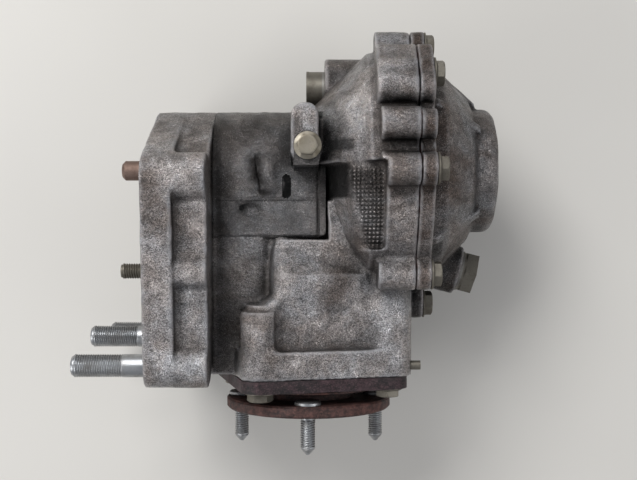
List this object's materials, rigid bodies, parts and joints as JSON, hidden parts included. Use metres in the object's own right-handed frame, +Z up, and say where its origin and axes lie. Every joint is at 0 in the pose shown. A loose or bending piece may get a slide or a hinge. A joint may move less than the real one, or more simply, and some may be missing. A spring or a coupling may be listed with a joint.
{
  "type": "center differential",
  "caption": "Right-angle transfer unit with a bevel centre differential: cast case with transaxle studs, heat shield, driveshaft boss and a studded propshaft flange.",
  "frame": {"origin": "where the main axis crosses the transaxle mating face", "axes": "+X along the main axis to the driveshaft boss, -Y along the pinion axis to the propshaft flange, +Z up in the vehicle"},
  "size_m": [0.226, 0.232, 0.1584],
  "materials": {
    "cast_case": "sand-cast, stained with grime",
    "cast_cover": "sand-cast, darker with grime",
    "shield_sheet": "dull pressed sheet, stained",
    "zinc_steel": "dull zinc plating",
    "plug_steel": "dull plated steel",
    "cage_iron": "dark oiled iron",
    "flange_iron": "thin brown rust",
    "gear_steel": "ground and oiled",
    "bearing_steel": "ground",
    "carrier_iron": "machined iron",
    "bronze": "satin",
    "soft_aluminium": "satin",
    "black_rubber": "matt"
  },
  "bodies": {
    "housing": {"main_case": "cast_case", "right_case": "cast_cover", "heat_shield": "shield_sheet", "heat_shield_bolt": "zinc_steel", "transaxle_studs": "zinc_steel", "transaxle_short_stud": "zinc_steel", "transaxle_dowel": "zinc_steel", "case_bolts": "zinc_steel", "case_dowels": "gear_steel", "filler_plug": "zinc_steel", "filler_gasket": "soft_aluminium", "drain_plug": "zinc_steel", "drain_gasket": "soft_aluminium", "screw_plug": "plug_steel", "screw_plug_gasket": "soft_aluminium", "neck_pin": "zinc_steel", "bearing_cage": "cage_iron", "cage_o_ring": "black_rubber", "cage_shim": "cage_iron", "cage_bolts": "zinc_steel", "input_oil_seal": "black_rubber", "right_oil_seal": "black_rubber", "pinion_oil_seal": "black_rubber", "left_bearing_cup": "bearing_steel", "right_bearing_cup": "bearing_steel", "head_bearing_cup": "bearing_steel", "tail_bearing_cup": "bearing_steel"},
    "carrier": {"ring_gear": "gear_steel", "ring_gear_carrier": "carrier_iron", "ring_gear_bolts": "gear_steel", "drum_cover": "carrier_iron", "drum_cover_bolts": "gear_steel", "rear_side_gear": "gear_steel", "left_bearing_cone": "bearing_steel", "right_bearing_cone": "bearing_steel"},
    "pinion": {"driven_pinion": "gear_steel", "pinion_spacer": "gear_steel", "pinion_washer": "gear_steel", "pinion_nut": "gear_steel", "companion_flange": "flange_iron", "flange_studs": "zinc_steel", "dust_deflector": "flange_iron", "head_bearing_cone": "bearing_steel", "tail_bearing_cone": "bearing_steel"},
    "cross": {"differential_cross": "gear_steel", "input_sleeve": "gear_steel", "spider_washers": "bronze"},
    "front_output": {"front_output_sleeve": "gear_steel", "front_side_gear": "gear_steel", "side_gear_washer": "bronze"},
    "front_spider": {"front_spider_gear": "gear_steel"},
    "upper_spider": {"upper_spider_gear": "gear_steel"},
    "rear_spider": {"rear_spider_gear": "gear_steel"},
    "lower_spider": {"lower_spider_gear": "gear_steel"},
    "left_rollers": {"left_bearing_rollers": "bearing_steel"},
    "right_rollers": {"right_bearing_rollers": "bearing_steel"},
    "head_rollers": {"head_bearing_rollers": "bearing_steel"},
    "tail_rollers": {"tail_bearing_rollers": "bearing_steel"}
  },
  "joints": [
    {"name": "carrier_spin", "type": "hinge", "parent": "housing", "child": "carrier", "pos_m": [0, 0, 0], "axis": [1, 0, 0], "continuous": true},
    {"name": "pinion_spin", "type": "hinge", "parent": "housing", "child": "pinion", "pos_m": [0.0843, 0, 0], "axis": [0, -1, 0], "continuous": true},
    {"name": "cross_spin", "type": "hinge", "parent": "carrier", "child": "cross", "pos_m": [0.1345, 0, 0], "axis": [1, 0, 0], "continuous": true},
    {"name": "front_output_spin", "type": "hinge", "parent": "carrier", "child": "front_output", "pos_m": [0.1345, 0, 0], "axis": [1, 0, 0], "continuous": true},
    {"name": "front_spider_spin", "type": "hinge", "parent": "cross", "child": "front_spider", "pos_m": [0.1345, 0, 0], "axis": [0, 1, 0], "continuous": true},
    {"name": "upper_spider_spin", "type": "hinge", "parent": "cross", "child": "upper_spider", "pos_m": [0.1345, 0, 0], "axis": [0, 0, 1], "continuous": true},
    {"name": "rear_spider_spin", "type": "hinge", "parent": "cross", "child": "rear_spider", "pos_m": [0.1345, 0, 0], "axis": [0, -1, 0], "continuous": true},
    {"name": "lower_spider_spin", "type": "hinge", "parent": "cross", "child": "lower_spider", "pos_m": [0.1345, 0, 0], "axis": [0, 0, -1], "continuous": true},
    {"name": "left_rollers_spin", "type": "hinge", "parent": "housing", "child": "left_rollers", "pos_m": [0.057, 0, 0], "axis": [1, 0, 0], "continuous": true},
    {"name": "right_rollers_spin", "type": "hinge", "parent": "housing", "child": "right_rollers", "pos_m": [0.171, 0, 0], "axis": [1, 0, 0], "continuous": true},
    {"name": "head_rollers_spin", "type": "hinge", "parent": "housing", "child": "head_rollers", "pos_m": [0.0843, -0.063, 0], "axis": [0, -1, 0], "continuous": true},
    {"name": "tail_rollers_spin", "type": "hinge", "parent": "housing", "child": "tail_rollers", "pos_m": [0.0843, -0.1, 0], "axis": [0, -1, 0], "continuous": true}
  ],
  "couplings": [
    {"joint": "pinion_spin", "follows": "carrier_spin", "ratio": -1.9474},
    {"joint": "front_output_spin", "follows": "cross_spin", "ratio": 2},
    {"joint": "front_spider_spin", "follows": "cross_spin", "ratio": -1.6667},
    {"joint": "upper_spider_spin", "follows": "cross_spin", "ratio": -1.6667},
    {"joint": "rear_spider_spin", "follows": "cross_spin", "ratio": -1.6667},
    {"joint": "lower_spider_spin", "follows": "cross_spin", "ratio": -1.6667},
    {"joint": "left_rollers_spin", "follows": "carrier_spin", "ratio": 0.45556},
    {"joint": "right_rollers_spin", "follows": "carrier_spin", "ratio": 0.45556},
    {"joint": "head_rollers_spin", "follows": "carrier_spin", "ratio": -0.8452},
    {"joint": "tail_rollers_spin", "follows": "carrier_spin", "ratio": -0.83459}
  ]
}
